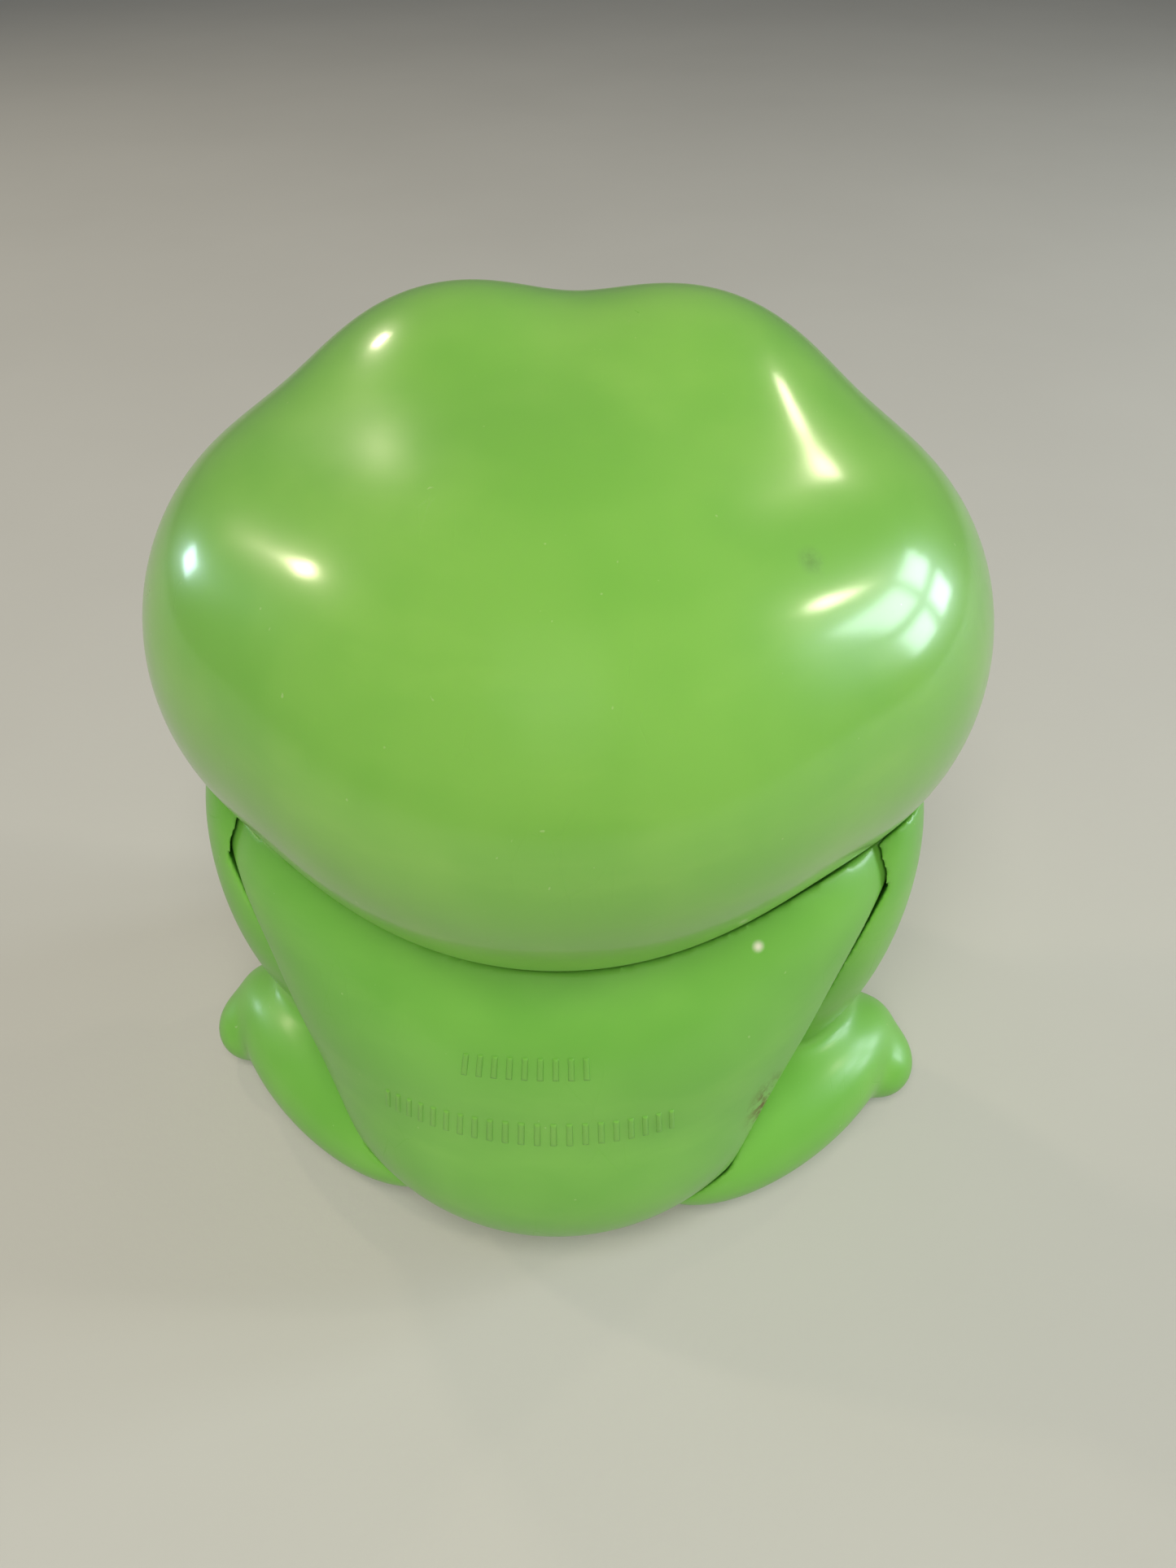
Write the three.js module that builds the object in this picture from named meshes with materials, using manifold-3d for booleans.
// A wind-up jumping frog in moulded green plastic: big rounded head in two shells, egg-shaped body
// in two shells, a pair of folded hind legs that kick, and a spring movement between two plates.
// Millimetres. The frog faces -Y, +Z is up, and the floor is Z = 0 under the middle of the toy.
import * as THREE from 'three';
import { mergeVertices } from 'three/addons/utils/BufferGeometryUtils.js';
import Module from 'manifold-3d';

const wasm = await Module();
wasm.setup();

// ---- driving dimensions ----
const wall = 1.8;               // moulded shell thickness, along the ray from the shell's middle
const gap = 0.3;                // clearance between neighbouring pieces
const blobSharpness = 5;        // how tightly the rounded lobes keep their own shape where they merge

// The head: a wide main lobe, two eye bumps and two cheeks.
const headMiddle = [0, 0.7, 51.1];
const headLobes = [
  lobe(0, 0.7, 51.1, 28.2, 29.7, 22.7),
  ...pair(9.1, -12.6, 62.6, 13.4, 13.4, 13.4),
  ...pair(21.6, -5.5, 50.35, 14.8, 18.8, 17),
];
const headSeamTilt = Math.atan2(0.7, 1);   // the seam leans forward at the top
const headSeamPoint = [0, -13, 66];
const eyeRadius = 7.6;
const eyePlace = [10.4, -22.4, 62.5];
const nostrilAt = [3.4, 52.5];  // [x, z]
const nostrilRadius = 0.9;

// The body: a wide upper lobe, a lower lobe that bulges at the back, a belly, a seat and two shoulders.
const bodyMiddle = [0, 4, 20];
const bodyLobes = [
  lobe(0, 5.9, 25.35, 27.4, 22.8, 15.5),
  lobe(0, 8.8, 11.6, 22.8, 23.7, 14.3),
  lobe(0, -5, 20, 18.5, 16.6, 14),
  lobe(0, -2, 9, 18, 15.5, 12),
  ...pair(15.5, 1, 34.5, 15.5, 17, 9.5),
];
// Flat flanks that the hind legs lie against: |x| = base + rise * z - fall * y.
const flank = { base: 24.85, rise: 0.25, fall: 0.4 };
const bodySplitY = -1;          // parting plane of the body shells, through the hip axle
const basePlateThick = 2.2;
const toeFrontY = -32.9;

// Hind legs, one lobe each for haunch, knee, foot and toe tip: middle, then half sizes.
const haunchLobe = [25.4, 1.5, 24, 7.4, 13.2, 20];
const haunchLean = 12;          // degrees that the haunch leans outwards at the top
const kneeLobe = [25.3, 1.2, 9.4, 5.8, 8.6, 8.5];
const footLobe = [22.7, 13.3, 5.2, 7.5, 17, 5.8];
const footTurn = 46.8;          // degrees that the foot splays outwards
const toeLobe = [34.1, 7.1, 3.3, 3.9, 4.4, 3.1];
const kickRange = 20;           // degrees that the legs turn when they kick

// The movement, seen along the X axis: [y, z] of every arbor.
const hip = [-1, 9.5];
const winder = [-8.5, 25];
const gearModule = 0.5;
const mainTeeth = 32;
const camPinionTeeth = 8;
const camWheelTeeth = 28;
const escapePinionTeeth = 8;
const camShaftAt = polarFrom(winder, meshDistance(mainTeeth, camPinionTeeth), -12);
const escapeAt = polarFrom(camShaftAt, meshDistance(camWheelTeeth, escapePinionTeeth), 25);
const vergeAt = polarFrom(escapeAt, 6.9, 86);
const plateX = 9;               // inner face of each movement plate
const plateThick = 1;
const pillars = [[-13, 15], [1.5, 34.2], [17.5, 17.5], [8, 8.5]];
const pillarRadius = 1.6;
const tenonRadius = 0.8;
const footBars = [[-3.2, 4.7], [12.4, 4.7]];
const shaftRadius = { hip: 1.5, winder: 1.5, cam: 1, escape: 0.8, verge: 0.7, stud: 0.5 };
const layers = {                // where each flat piece lies along X
  mainWheel: [-8, -6.6],
  camPinion: [-8.2, -6.4],
  ratchet: [-6.3, -5.1],
  click: [-6.2, -5.2],
  clickSpring: [-6.1, -5.3],
  mainspring: [-4.4, 3.4],
  star: [-2.2, -0.8],
  verge: [-2.1, -0.9],
  escapePinion: [4, 6],
  camWheel: [4.3, 5.7],
  cam: [10.7, 12.5],
  kickLever: [13.3, 14.6],
};
const ratchetTeeth = 12;
const ratchetRadius = 4.2;
const ratchetRoot = 3.3;
const clickPivot = polarFrom(winder, 6.2, 112);
const starTeeth = 12;
const starRadius = 4;
const shellScrews = [[0, -8.4], [0, 17.4]];
const movementScrews = footBars.map(([y]) => [0, y]);
const knobRadius = 4.8;
const knobX = [26, 31.6];       // from the inner face to the outer face
const knobRoom = 0.8;           // space round the knob
const arborEnd = 27.5;
const followerRadius = 1.4;
const camHigh = 6.3;
const camLow = 2.5;
const followerReach = camHigh + followerRadius + gap;
const hipToCam = Math.hypot(camShaftAt[0] - hip[0], camShaftAt[1] - hip[1]);
const leverLength = Math.sqrt(hipToCam ** 2 - followerReach ** 2);
const hipToCamAngle = degrees(Math.atan2(camShaftAt[1] - hip[1], camShaftAt[0] - hip[0]));
const leverAngle = hipToCamAngle + degrees(Math.acos(leverLength / hipToCam));
const followerAt = polarFrom(hip, leverLength, leverAngle);

// ---- finishes ----
const finishes = {
  headGreen: { color: 0x8dc556, roughness: 0.22, metalness: 0 },
  faceGreen: { color: 0xb4d86a, roughness: 0.25, metalness: 0 },
  bodyGreen: { color: 0x78b64a, roughness: 0.4, metalness: 0 },
  eyeWhite: { color: 0xf1efe0, roughness: 0.15, metalness: 0 },
  basePlastic: { color: 0x5f9c3c, roughness: 0.5, metalness: 0 },
  knobPlastic: { color: 0xe8e4d4, roughness: 0.4, metalness: 0 },
  acetal: { color: 0xe9e7df, roughness: 0.45, metalness: 0 },
  steel: { color: 0xb9bcc0, roughness: 0.35, metalness: 1 },
  springSteel: { color: 0x6d7684, roughness: 0.3, metalness: 1 },
  brass: { color: 0xc9a552, roughness: 0.35, metalness: 1 },
};

function lobe(x, y, z, rx, ry, rz) {
  return { at: [x, y, z], size: [rx, ry, rz] };
}

function pair(x, y, z, rx, ry, rz) {
  return [lobe(x, y, z, rx, ry, rz), lobe(-x, y, z, rx, ry, rz)];
}

function degrees(angle) {
  return THREE.MathUtils.radToDeg(angle);
}

function radians(angle) {
  return THREE.MathUtils.degToRad(angle);
}

function polarFrom([y, z], distance, angle) {
  return [y + distance * Math.cos(radians(angle)), z + distance * Math.sin(radians(angle))];
}

function meshDistance(teethA, teethB) {
  return gearModule * (teethA + teethB) / 2;
}

// ---- solids ----
function solidOf(geometry) {
  geometry.deleteAttribute('normal');
  geometry.deleteAttribute('uv');
  const merged = mergeVertices(geometry, 1e-4);
  const vertProperties = new Float32Array(merged.attributes.position.array);
  const triVerts = new Uint32Array(merged.index.array);
  return new wasm.Manifold(new wasm.Mesh({ numProp: 3, vertProperties, triVerts }));
}

function geometryOf(solid) {
  const mesh = solid.getMesh();
  const geometry = new THREE.BufferGeometry();
  geometry.setAttribute('position', new THREE.BufferAttribute(new Float32Array(mesh.vertProperties), 3));
  geometry.setIndex(new THREE.BufferAttribute(new Uint32Array(mesh.triVerts), 1));
  geometry.computeVertexNormals();
  return geometry;
}

function block(low, high) {
  const size = high.map((value, i) => value - low[i]);
  const geometry = new THREE.BoxGeometry(...size);
  geometry.translate(...low.map((value, i) => value + size[i] / 2));
  return solidOf(geometry);
}

// A round bar along X between two x values, centred on [y, z].
function barX(radius, x0, x1, [y, z], sides = 20) {
  const geometry = new THREE.CylinderGeometry(radius, radius, x1 - x0, sides);
  geometry.rotateZ(-Math.PI / 2);
  geometry.translate((x0 + x1) / 2, y, z);
  return solidOf(geometry);
}

// A round bar along Y.
function barY(radius, y0, y1, x, z, sides = 12) {
  const geometry = new THREE.CylinderGeometry(radius, radius, y1 - y0, sides);
  geometry.translate(x, (y0 + y1) / 2, z);
  return solidOf(geometry);
}

// A round bar along Z between two heights.
function barZ(radius, z0, z1, x, y, sides = 16) {
  const geometry = new THREE.CylinderGeometry(radius, radius, z1 - z0, sides);
  geometry.rotateX(Math.PI / 2);
  geometry.translate(x, y, (z0 + z1) / 2);
  return solidOf(geometry);
}

// A flat outline drawn in the Y-Z plane and given a thickness along X.
function slabX(shape, x0, x1, curveSegments = 8) {
  const geometry = new THREE.ExtrudeGeometry(shape, { depth: x1 - x0, bevelEnabled: false, curveSegments });
  const toSide = new THREE.Matrix4().makeBasis(
    new THREE.Vector3(0, 1, 0),
    new THREE.Vector3(0, 0, 1),
    new THREE.Vector3(1, 0, 0),
  );
  geometry.applyMatrix4(toSide);
  geometry.translate(x0, 0, 0);
  return solidOf(geometry);
}

function mirrored(solid) {
  const geometry = geometryOf(solid);
  geometry.scale(-1, 1, 1);
  const order = geometry.index.array;
  for (let i = 0; i < order.length; i += 3) {
    [order[i], order[i + 1]] = [order[i + 1], order[i]];
  }
  return solidOf(geometry);
}

// Distance from the middle to the merged surface of the lobes along one direction.
function lobeReach(middle, lobes, direction) {
  let near = 0.5;
  let far = 80;
  for (let step = 0; step < 40; step += 1) {
    const reach = (near + far) / 2;
    let field = 0;
    for (const { at, size } of lobes) {
      const off = [0, 1, 2].map((i) => (middle[i] + direction[i] * reach - at[i]) / size[i]);
      field += Math.exp(-blobSharpness * (Math.hypot(...off) - 1));
    }
    if (field > 1) near = reach;
    else far = reach;
  }
  return near;
}

// A closed rounded form around its middle; inset moves the surface inwards along each ray.
function roundedForm(middle, lobes, around, up, inset = 0) {
  const geometry = new THREE.SphereGeometry(1, around, up);
  geometry.rotateX(Math.PI / 2);
  const points = geometry.attributes.position;
  const direction = new THREE.Vector3();
  for (let i = 0; i < points.count; i += 1) {
    direction.fromBufferAttribute(points, i).normalize();
    const ray = direction.toArray();
    const reach = lobeReach(middle, lobes, ray) - inset;
    points.setXYZ(i, ...ray.map((value, axis) => middle[axis] + value * reach));
  }
  return solidOf(geometry);
}

function ball(x, y, z, rx, ry, rz, around = 16, up = 10) {
  const geometry = new THREE.SphereGeometry(1, around, up);
  geometry.rotateX(Math.PI / 2);
  geometry.scale(rx, ry, rz);
  geometry.translate(x, y, z);
  return solidOf(geometry);
}

// ---- the finished toy is a tree of groups, one per rigid assembly ----
const frog = new THREE.Group();
const assemblies = {};
for (const name of ['frame', 'kicker', 'mainWheel', 'winding', 'click', 'camShaft', 'escape', 'verge']) {
  assemblies[name] = new THREE.Group();
  frog.add(assemblies[name]);
}

function piece(assembly, name, solid, finish) {
  const mesh = new THREE.Mesh(geometryOf(solid), new THREE.MeshStandardMaterial(finishes[finish]));
  mesh.name = name;
  assemblies[assembly].add(mesh);
}

// ---- head ----
function headForm(inset, around = 34, up = 22) {
  return roundedForm(headMiddle, headLobes, around, up, inset);
}

// Everything behind the seam plane, moved back by the given distance.
function behindHeadSeam(shift) {
  const size = 120;
  const geometry = new THREE.BoxGeometry(size, size, size);
  geometry.translate(0, size / 2 + shift, 0);
  geometry.rotateX(headSeamTilt);
  geometry.translate(...headSeamPoint);
  return solidOf(geometry);
}

// A smiling groove, as deep as the given distance into the head's surface.
function mouthCutter(depth) {
  const smile = new THREE.Shape();
  const arcMiddle = 74;
  const arcRadius = 31;
  const width = 0.5;
  const spread = radians(50);
  const down = -Math.PI / 2;
  smile.absarc(0, arcMiddle, arcRadius + width, down - spread, down + spread, false);
  smile.absarc(0, arcMiddle, arcRadius - width, down + spread, down - spread, true);
  smile.closePath();
  const geometry = new THREE.ExtrudeGeometry(smile, { depth: 40, bevelEnabled: false, curveSegments: 14 });
  geometry.rotateX(Math.PI / 2);
  return solidOf(geometry).subtract(headForm(depth, 20, 12));
}

function buildHead() {
  const neckOpening = roundedForm(bodyMiddle, bodyLobes, 18, 12, wall + 1.4);
  const roomX = plateX + plateThick + 1.5;
  const roomOutline = hullOutline([[...winder, 9.6], [...vergeAt, 4], [...pillars[1], 3.6]]);
  const hollow = headForm(wall + 0.2, 20, 14).add(neckOpening).add(slabX(roomOutline, -roomX, roomX));
  const shell = headForm(0).subtract(hollow);
  const rear = shell.intersect(behindHeadSeam(gap / 2));
  let front = shell.subtract(behindHeadSeam(-gap / 2)).subtract(mouthCutter(0.7));
  const [x, y, z] = eyePlace;
  const socket = eyeRadius + gap;
  const eyeBack = block([-40, y + 1, 40], [40, 0, 90]);
  for (const side of [1, -1]) {
    front = front.subtract(ball(side * x, y, z, socket, socket, socket));
    front = front.subtract(barY(nostrilRadius, -32, -27.6, side * nostrilAt[0], nostrilAt[1]));
    const eye = ball(side * x, y, z, eyeRadius, eyeRadius, eyeRadius).subtract(eyeBack);
    piece('frame', side > 0 ? 'left_eye' : 'right_eye', eye, 'eyeWhite');
  }
  piece('frame', 'head_rear_shell', rear, 'headGreen');
  piece('frame', 'head_front_shell', front, 'faceGreen');
}

// ---- body ----
// Everything between the two flanks, with each flank moved outwards by the given distance.
function betweenFlanks(shift) {
  const size = 200;
  const outwards = new THREE.Vector3(1, flank.fall, -flank.rise);
  const turn = new THREE.Quaternion();
  turn.setFromUnitVectors(new THREE.Vector3(1, 0, 0), outwards.clone().normalize());
  const geometry = new THREE.BoxGeometry(size, size, size);
  geometry.translate(shift - size / 2, 0, 0);
  geometry.applyQuaternion(turn);
  geometry.translate(flank.base, 0, 0);
  const inner = solidOf(geometry);
  return inner.intersect(mirrored(inner));
}

function bodyForm(inset, shift, around = 30, up = 20) {
  return roundedForm(bodyMiddle, bodyLobes, around, up, inset).intersect(betweenFlanks(shift));
}

// One front leg with its three toes; they stand in front of the belly.
function frontLeg(side) {
  const x = side * 15.5;
  const arm = [lobe(side * 14.2, -15.5, 13, 5.6, 6, 11), lobe(x, -22.5, 3.2, 6.2, 8, 3.6)];
  let leg = roundedForm([x, -20, 5], arm, 14, 10);
  const toeLength = 5;
  for (const spread of [-1, 0, 1]) {
    const toeY = toeFrontY + toeLength + Math.abs(spread) * 1.2;
    leg = leg.add(ball(x + spread * 4.4, toeY, 1.7, 2.3, toeLength, 2, 8, 6));
  }
  return leg;
}

// A post for a base screw, tied to the nearest end wall by an upright web.
function screwPost([x, y], wallY) {
  const bottom = basePlateThick + gap;
  const halfWeb = 0.7;
  const web = block([x - halfWeb, Math.min(y, wallY), bottom], [x + halfWeb, Math.max(y, wallY), 8]);
  return barZ(2.2, bottom, 9.5, x, y).add(web);
}

function buildBody() {
  const floor = block([-60, -60, 0], [60, 60, 80]);
  const hollow = bodyForm(wall, -wall, 20, 14);
  const outer = bodyForm(0, 0).add(frontLeg(1)).add(frontLeg(-1)).intersect(floor);
  let shell = outer.subtract(hollow);
  for (const at of shellScrews) {
    shell = shell.add(screwPost(at, Math.sign(at[1]) * 45).intersect(outer));
  }
  shell = shell.subtract(barX(shaftRadius.hip + gap, -60, 60, hip));
  shell = shell.subtract(barX(shaftRadius.winder + gap, 0, 60, winder));
  shell = shell.subtract(headForm(-2 * gap, 26, 18));
  shell = shell.subtract(barX(knobRadius + knobRoom, knobX[0] - gap, 60, winder, 24));
  for (const [x, y] of shellScrews) {
    shell = shell.subtract(barZ(1.2, -1, 9, x, y, 12)).subtract(barZ(2.4, -1, basePlateThick, x, y));
  }
  const rearHalf = block([-60, bodySplitY + gap / 2, -1], [60, 60, 80]);
  const frontHalf = block([-60, -60, -1], [60, bodySplitY - gap / 2, 80]);
  piece('frame', 'body_rear_shell', shell.intersect(rearHalf), 'bodyGreen');
  piece('frame', 'body_front_shell', shell.intersect(frontHalf), 'bodyGreen');
  buildBase();
}

function buildBase() {
  const plugInset = wall + gap + 0.2;
  const plug = bodyForm(plugInset, -plugInset, 20, 14);
  let plate = plug.intersect(block([-60, -60, 0], [60, 60, basePlateThick]));
  const headPocket = 1.3;
  for (const [x, y] of [...shellScrews, ...movementScrews]) {
    plate = plate.subtract(barZ(1.2, -1, 5, x, y, 12)).subtract(barZ(2, -1, headPocket, x, y));
  }
  piece('frame', 'base_plate', plate, 'basePlastic');
  const names = ['base_screw_front', 'base_screw_rear', 'movement_screw_front', 'movement_screw_rear'];
  [...shellScrews, ...movementScrews].forEach(([x, y], i) => {
    const long = i < shellScrews.length ? 8.5 : 5.6;
    const screw = barZ(1.65, 0.25, headPocket - 0.3, x, y).add(barZ(0.85, 0.8, long, x, y, 10));
    const slot = block([x - 3, y - 0.25, -1], [x + 3, y + 0.25, 0.6]);
    piece('frame', names[i], screw.subtract(slot), 'steel');
  });
}

// ---- hind legs, hip axle and kick levers ----
// A solid turned about the hip axle, with the rear going up for a positive angle.
function turnedAboutHip(solid, angle) {
  const geometry = geometryOf(solid);
  geometry.translate(0, -hip[0], -hip[1]);
  geometry.rotateX(radians(angle));
  geometry.translate(0, ...hip);
  return solidOf(geometry);
}

// What the leg has to stay clear of, at rest and on the way to the end of its kick.
function clearOfToy(leg) {
  const bodyRoom = bodyForm(-1.3 * gap, gap);
  const headRoom = headForm(-0.7, 24, 16);
  let clear = leg;
  for (const share of [0, 0.5, 1]) {
    clear = clear.subtract(turnedAboutHip(bodyRoom, share * kickRange));
    clear = clear.subtract(turnedAboutHip(headRoom, share * kickRange));
  }
  return clear;
}

// A rounded lobe turned about its own middle.
function turnedLobe([x, y, z, ...size], axis, angle, around, up) {
  const geometry = new THREE.SphereGeometry(1, around, up);
  geometry.rotateX(Math.PI / 2);
  geometry.scale(...size);
  if (axis === 'Y') geometry.rotateY(radians(angle));
  else geometry.rotateZ(radians(angle));
  geometry.translate(x, y, z);
  return solidOf(geometry);
}

function hindLeg() {
  const haunch = turnedLobe(haunchLobe, 'Y', haunchLean, 20, 16);
  const foot = turnedLobe(footLobe, 'Z', footTurn, 20, 12);
  const aboveFloor = block([6, -60, gap / 2], [60, 60, 60]);
  const whole = haunch.add(ball(...kneeLobe, 14, 10)).add(ball(...toeLobe, 10, 8)).add(foot);
  return clearOfToy(whole.intersect(aboveFloor)).subtract(barX(shaftRadius.hip + gap, 0, 29.5, hip));
}

// The leg beside the winding knob has a notch that the knob stays inside while the leg kicks.
function clearOfKnob(leg) {
  const knobSpace = barX(knobRadius + knobRoom, 20, 60, winder, 24);
  let clear = leg;
  for (const share of [0, 0.25, 0.5, 0.75, 1]) {
    clear = clear.subtract(turnedAboutHip(knobSpace, share * kickRange));
  }
  return clear;
}

function kickLever() {
  const [x0, x1] = layers.kickLever;
  const arm = hullOutline([[...hip, 3], [...followerAt, 1.9]]);
  const lever = slabX(arm, x0, x1).add(barX(followerRadius, 10.6, x0 + 0.1, followerAt, 16));
  return lever.subtract(barX(shaftRadius.hip + gap, 0, 30, hip));
}

// A torsion spring coiled round the hip axle, with one straight end up to the kick lever.
function kickSpring() {
  const turns = 3;
  const stepsPerTurn = 12;
  const coilRadius = 2.55;
  const wire = 0.35;
  const firstX = 15.4;
  const pitch = 0.95;
  const points = [];
  for (let i = 0; i <= turns * stepsPerTurn; i += 1) {
    const x = firstX + pitch * i / stepsPerTurn;
    points.push(new THREE.Vector3(x, ...polarFrom(hip, coilRadius, leverAngle + 20 + 360 * i / stepsPerTurn)));
  }
  const path = new THREE.CatmullRomCurve3(points);
  const section = new THREE.Shape();
  section.absarc(0, 0, wire, 0, 2 * Math.PI, false);
  const geometry = new THREE.ExtrudeGeometry(section, {
    steps: turns * stepsPerTurn,
    extrudePath: path,
    curveSegments: 3,
    bevelEnabled: false,
  });
  return solidOf(geometry);
}

function buildKicker() {
  const leg = hindLeg();
  const lever = kickLever();
  const spring = kickSpring();
  piece('kicker', 'left_hind_leg', clearOfKnob(leg), 'bodyGreen');
  piece('kicker', 'right_hind_leg', mirrored(leg), 'bodyGreen');
  piece('kicker', 'left_kick_lever', lever, 'acetal');
  piece('kicker', 'right_kick_lever', mirrored(lever), 'acetal');
  piece('kicker', 'hip_axle', barX(shaftRadius.hip, -29, 29, hip, 18), 'steel');
  piece('frame', 'left_kick_spring', spring, 'springSteel');
  piece('frame', 'right_kick_spring', mirrored(spring), 'springSteel');
}

// ---- movement ----
// The smallest outline that goes round all the circles [y, z, radius].
function hullOutline(circles, steps = 12) {
  const points = [];
  for (const [y, z, radius] of circles) {
    for (let i = 0; i < steps; i += 1) {
      const angle = 2 * Math.PI * i / steps;
      points.push([y + radius * Math.cos(angle), z + radius * Math.sin(angle)]);
    }
  }
  points.sort((a, b) => a[0] - b[0] || a[1] - b[1]);
  const turnsRight = (o, a, b) => (a[0] - o[0]) * (b[1] - o[1]) - (a[1] - o[1]) * (b[0] - o[0]) <= 0;
  const chain = (list) => {
    const edge = [];
    for (const point of list) {
      while (edge.length > 1 && turnsRight(edge[edge.length - 2], edge[edge.length - 1], point)) edge.pop();
      edge.push(point);
    }
    return edge.slice(0, -1);
  };
  const outline = [...chain(points), ...chain([...points].reverse())];
  return new THREE.Shape(outline.map(([y, z]) => new THREE.Vector2(y, z)));
}

// An involute gear, teeth thinned by the play, standing on [y, z] and turned by an angle.
function gear(teeth, x0, x1, centre, turn, boreRadius, addendum, play = 0.09) {
  const pressure = radians(22);
  const pitchRadius = gearModule * teeth / 2;
  const baseRadius = pitchRadius * Math.cos(pressure);
  const rootRadius = pitchRadius - 1.2 * gearModule;
  const tipRadius = pitchRadius + addendum * gearModule;
  const involute = (angle) => Math.tan(angle) - angle;
  const halfAtPitch = Math.PI / (2 * teeth) - play / (2 * pitchRadius);
  const halfAt = (radius) => {
    const lean = radius > baseRadius ? Math.acos(baseRadius / radius) : 0;
    return halfAtPitch + involute(pressure) - involute(lean);
  };
  const toothSide = [rootRadius, Math.max(baseRadius, rootRadius + 0.05), pitchRadius, tipRadius];
  const points = [];
  for (let tooth = 0; tooth < teeth; tooth += 1) {
    const middle = turn + 2 * Math.PI * tooth / teeth;
    const place = (radius, angle) => {
      points.push(new THREE.Vector2(...polarFrom(centre, radius, degrees(angle))));
    };
    toothSide.forEach((radius) => place(radius, middle - halfAt(radius)));
    [...toothSide].reverse().forEach((radius) => place(radius, middle + halfAt(radius)));
  }
  const solid = slabX(new THREE.Shape(points), x0, x1);
  return boreRadius ? solid.subtract(barX(boreRadius, x0 - 1, x1 + 1, centre, 16)) : solid;
}

// The turn that puts the second gear's tooth gap on the first gear's tooth along the line of centres.
function meshTurn(teethA, turnA, centreA, teethB, centreB) {
  const line = Math.atan2(centreB[1] - centreA[1], centreB[0] - centreA[0]);
  const share = 0.5 - teethA * (line - turnA) / (2 * Math.PI);
  return line + Math.PI - 2 * Math.PI * share / teethB;
}

function buildPlates() {
  const corners = [...pillars.map((at) => [...at, 2.8]), ...footBars.map((at) => [...at, 2.2])];
  const outline = hullOutline([...corners, [...winder, 4], [...vergeAt, 2.4], [...hip, 4]]);
  const bearings = [
    [hip, shaftRadius.hip],
    [winder, shaftRadius.winder],
    [camShaftAt, shaftRadius.cam],
    [escapeAt, shaftRadius.escape],
    [vergeAt, shaftRadius.verge],
  ];
  for (const side of [1, -1]) {
    const [x0, x1] = side > 0 ? [plateX, plateX + plateThick] : [-plateX - plateThick, -plateX];
    let plate = slabX(outline, x0, x1);
    for (const [at, radius] of bearings) {
      plate = plate.subtract(barX(radius + gap, x0 - 1, x1 + 1, at, 16));
    }
    for (const at of pillars) {
      plate = plate.subtract(barX(tenonRadius + gap, x0 - 1, x1 + 1, at, 12));
    }
    const window = barX(3, x0 - 1, x1 + 1, polarFrom(pillars[2], 6.6, 200), 18);
    piece('frame', side > 0 ? 'movement_plate_left' : 'movement_plate_right', plate.subtract(window), 'steel');
  }
  const inside = plateX - gap;
  const pillarNames = ['pillar_front', 'pillar_top', 'pillar_rear', 'pillar_bottom'];
  pillars.forEach((at, i) => {
    const tenon = plateX + plateThick + 0.4;
    const post = barX(pillarRadius, -inside, inside, at, 14).add(barX(tenonRadius, -tenon, tenon, at, 10));
    piece('frame', pillarNames[i], post, 'steel');
  });
  footBars.forEach(([y, z], i) => {
    const bar = block([-inside, y - 2, basePlateThick + gap], [inside, y + 2, z + 1.6]);
    const bored = bar.subtract(barZ(1.2, 0, z + 1.2, 0, y, 12));
    piece('frame', i ? 'movement_foot_rear' : 'movement_foot_front', bored, 'acetal');
  });
}

// A flat spiral: the mainspring, hooked close to the arbor and running out to the top pillar.
function mainspring() {
  const thick = 0.32;
  const innerRadius = 2.1;
  const pitch = 1.0;
  const turns = 4.6;
  const stepsPerTurn = 20;
  const steps = Math.round(turns * stepsPerTurn);
  const towardPillar = Math.atan2(pillars[1][1] - winder[1], pillars[1][0] - winder[0]);
  const endAngle = towardPillar + Math.PI / 2.4;
  const outer = [];
  const inner = [];
  for (let i = 0; i <= steps; i += 1) {
    const angle = endAngle + 2 * Math.PI * (steps - i) / stepsPerTurn;
    const radius = innerRadius + pitch * i / stepsPerTurn;
    outer.push(polarFrom(winder, radius + thick, degrees(angle)));
    inner.push(polarFrom(winder, radius, degrees(angle)));
  }
  const hook = polarFrom(pillars[1], pillarRadius + gap, 230);
  outer.push([hook[0], hook[1] + thick]);
  inner.push([hook[0], hook[1]]);
  const strip = [...outer, ...inner.reverse()].map(([y, z]) => new THREE.Vector2(y, z));
  return slabX(new THREE.Shape(strip), ...layers.mainspring);
}

function ratchetWheel() {
  const points = [];
  for (let i = 0; i < ratchetTeeth; i += 1) {
    for (const [radius, along] of [[ratchetRoot, 0], [ratchetRadius, 0], [ratchetRadius - 0.25, 0.3]]) {
      points.push(new THREE.Vector2(...polarFrom(winder, radius, 360 * (i + along) / ratchetTeeth)));
    }
  }
  const bore = barX(shaftRadius.winder + gap, -8, 0, winder, 16);
  return slabX(new THREE.Shape(points), ...layers.ratchet).subtract(bore);
}

function click() {
  const elbow = polarFrom(winder, 5.05, 87);
  const tip = polarFrom(winder, 3.88, 83.5);
  const arm = slabX(hullOutline([[...clickPivot, 1.1], [...elbow, 0.45]], 10), ...layers.click);
  const nose = slabX(hullOutline([[...elbow, 0.45], [...tip, 0.2]], 8), ...layers.click);
  return arm.add(nose).subtract(barX(shaftRadius.stud + gap / 2, -7, -4, clickPivot, 12));
}

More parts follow.
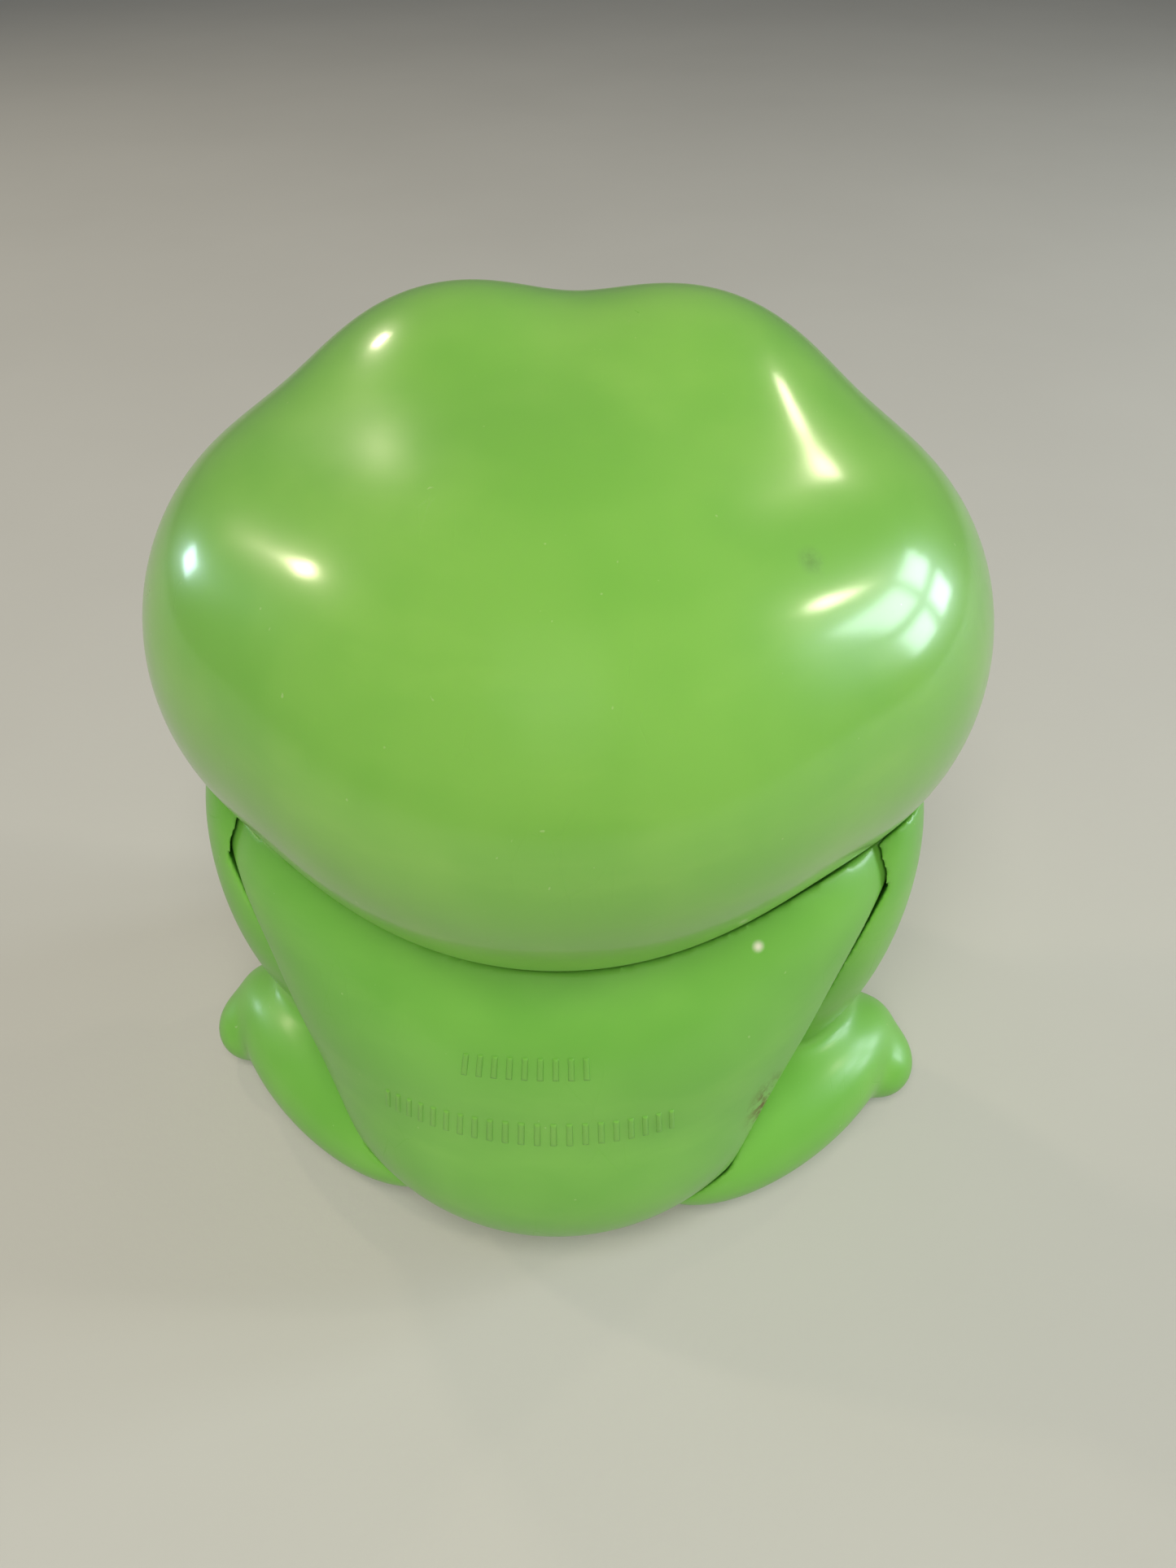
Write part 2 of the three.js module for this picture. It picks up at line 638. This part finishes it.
function clickSpring() {
  const start = polarFrom(winder, 7.35, 150);
  const end = polarFrom(winder, 6.15, 82);
  const middle = polarFrom(winder, 7.75, 118);
  const curve = new THREE.QuadraticBezierCurve(
    new THREE.Vector2(...start),
    new THREE.Vector2(2 * middle[0] - (start[0] + end[0]) / 2, 2 * middle[1] - (start[1] + end[1]) / 2),
    new THREE.Vector2(...end),
  );
  const centreLine = curve.getPoints(8);
  const half = 0.14;
  const offset = (sign) => centreLine.map((point, i) => {
    const along = curve.getTangent(i / 8);
    return new THREE.Vector2(point.x - sign * half * along.y, point.y + sign * half * along.x);
  });
  const strip = new THREE.Shape([...offset(-1), ...offset(1).reverse()]);
  const root = barX(shaftRadius.stud, -6.3, -5.2, polarFrom(winder, 7.35, 152), 10);
  return slabX(strip, ...layers.clickSpring).add(root);
}

// A snail cam that rises slowly and then drops all at once.
function dropCam(side) {
  const [x0, x1] = side > 0 ? layers.cam : [-layers.cam[1], -layers.cam[0]];
  const dropAngle = 180;
  const dwell = 50;
  const points = [];
  const steps = 30;
  for (let i = 0; i <= steps; i += 1) {
    const angle = dropAngle + 2 + 358 * i / steps;
    const rise = Math.max(0, (angle - dropAngle - dwell) / (360 - dwell));
    const at = polarFrom(camShaftAt, camLow + (camHigh - camLow) * Math.min(rise, 1), angle);
    points.push(new THREE.Vector2(...at));
  }
  return slabX(new THREE.Shape(points), x0, x1).subtract(
    barX(shaftRadius.cam + gap, x0 - 1, x1 + 1, camShaftAt, 16),
  );
}

function buildTrain() {
  const wheelTurn = 0;
  const camTurn = meshTurn(mainTeeth, wheelTurn, winder, camPinionTeeth, camShaftAt);
  const escapeTurn = meshTurn(camWheelTeeth, wheelTurn, camShaftAt, escapePinionTeeth, escapeAt);
  const addendum = 0.8;
  const wheel = (teeth, layer, at, turn, bore, tip = addendum) => {
    return gear(teeth, ...layers[layer], at, turn, bore, tip);
  };
  const stud = barX(shaftRadius.stud, -6.7, -5.1, clickPivot, 10);
  const mainWheel = wheel(mainTeeth, 'mainWheel', winder, wheelTurn, shaftRadius.winder + gap, 0.85).add(stud);
  piece('mainWheel', 'main_wheel', mainWheel, 'brass');
  piece('mainWheel', 'click_spring', clickSpring(), 'springSteel');
  piece('click', 'click', click(), 'steel');
  const arbor = barX(shaftRadius.winder, -plateX - plateThick - 0.4, arborEnd, winder, 18);
  piece('winding', 'winding_arbor', arbor, 'steel');
  piece('winding', 'ratchet_wheel', ratchetWheel(), 'steel');
  piece('winding', 'winding_knob', windingKnob(), 'knobPlastic');
  piece('frame', 'mainspring', mainspring(), 'springSteel');
  const camPinion = wheel(camPinionTeeth, 'camPinion', camShaftAt, camTurn, shaftRadius.cam + gap / 2);
  const camWheel = wheel(camWheelTeeth, 'camWheel', camShaftAt, wheelTurn, shaftRadius.cam + gap);
  piece('camShaft', 'cam_shaft', barX(shaftRadius.cam, -13, 13, camShaftAt, 14), 'steel');
  piece('camShaft', 'cam_pinion', camPinion, 'brass');
  piece('camShaft', 'cam_wheel', camWheel, 'acetal');
  piece('camShaft', 'left_drop_cam', dropCam(1), 'acetal');
  piece('camShaft', 'right_drop_cam', dropCam(-1), 'acetal');
  const shaftEnd = plateX + plateThick + 0.4;
  const pinionBore = shaftRadius.escape + gap / 2;
  const escapePinion = wheel(escapePinionTeeth, 'escapePinion', escapeAt, escapeTurn, pinionBore);
  piece('escape', 'escape_shaft', barX(shaftRadius.escape, -shaftEnd, shaftEnd, escapeAt, 12), 'steel');
  piece('escape', 'escape_pinion', escapePinion, 'brass');
  piece('escape', 'star_wheel', starWheel(), 'brass');
  piece('verge', 'verge_staff', barX(shaftRadius.verge, -shaftEnd, shaftEnd, vergeAt, 12), 'steel');
  piece('verge', 'verge', verge(), 'steel');
}

function windingKnob() {
  const flutes = 16;
  const points = [];
  for (let i = 0; i < flutes * 2; i += 1) {
    const radius = i % 2 ? knobRadius : knobRadius - 0.5;
    points.push(new THREE.Vector2(...polarFrom(winder, radius, 180 * i / flutes)));
  }
  const grip = slabX(new THREE.Shape(points), ...knobX);
  const collar = barX(2.9, knobX[0] - 0.3, knobX[0] + 0.1, winder, 18);
  return grip.add(collar).subtract(barX(shaftRadius.winder + gap, 20, arborEnd + gap, winder, 16));
}

function starWheel() {
  const points = [];
  for (let i = 0; i < starTeeth * 2; i += 1) {
    const radius = i % 2 ? starRadius - 1.1 : starRadius;
    points.push(new THREE.Vector2(...polarFrom(escapeAt, radius, 180 * i / starTeeth)));
  }
  const bore = barX(shaftRadius.escape + gap / 2, -4, 1, escapeAt, 12);
  return slabX(new THREE.Shape(points), ...layers.star).subtract(bore);
}

// The rocking verge: a hub on its staff and two arms whose pallets hang over the star wheel.
function verge() {
  const armEnds = [160, 20].map((angle) => [...polarFrom(vergeAt, 3.4, angle), 0.6]);
  let solid = slabX(hullOutline([[...vergeAt, 1.5], ...armEnds]), ...layers.verge);
  for (const angle of [56, 124]) {
    const tip = polarFrom(escapeAt, starRadius + 1.2, angle);
    const root = polarFrom(vergeAt, 3.2, angle < 90 ? 8 : 172);
    solid = solid.add(slabX(hullOutline([[...root, 0.55], [...tip, 0.5]], 8), ...layers.verge));
  }
  const starRoom = barX(starRadius + 0.65, -4, 1, escapeAt, 28);
  return solid.subtract(starRoom).subtract(barX(shaftRadius.verge + gap / 2, -4, 1, vergeAt, 12));
}

buildHead();
buildBody();
buildKicker();
buildPlates();
buildTrain();

export default frog;
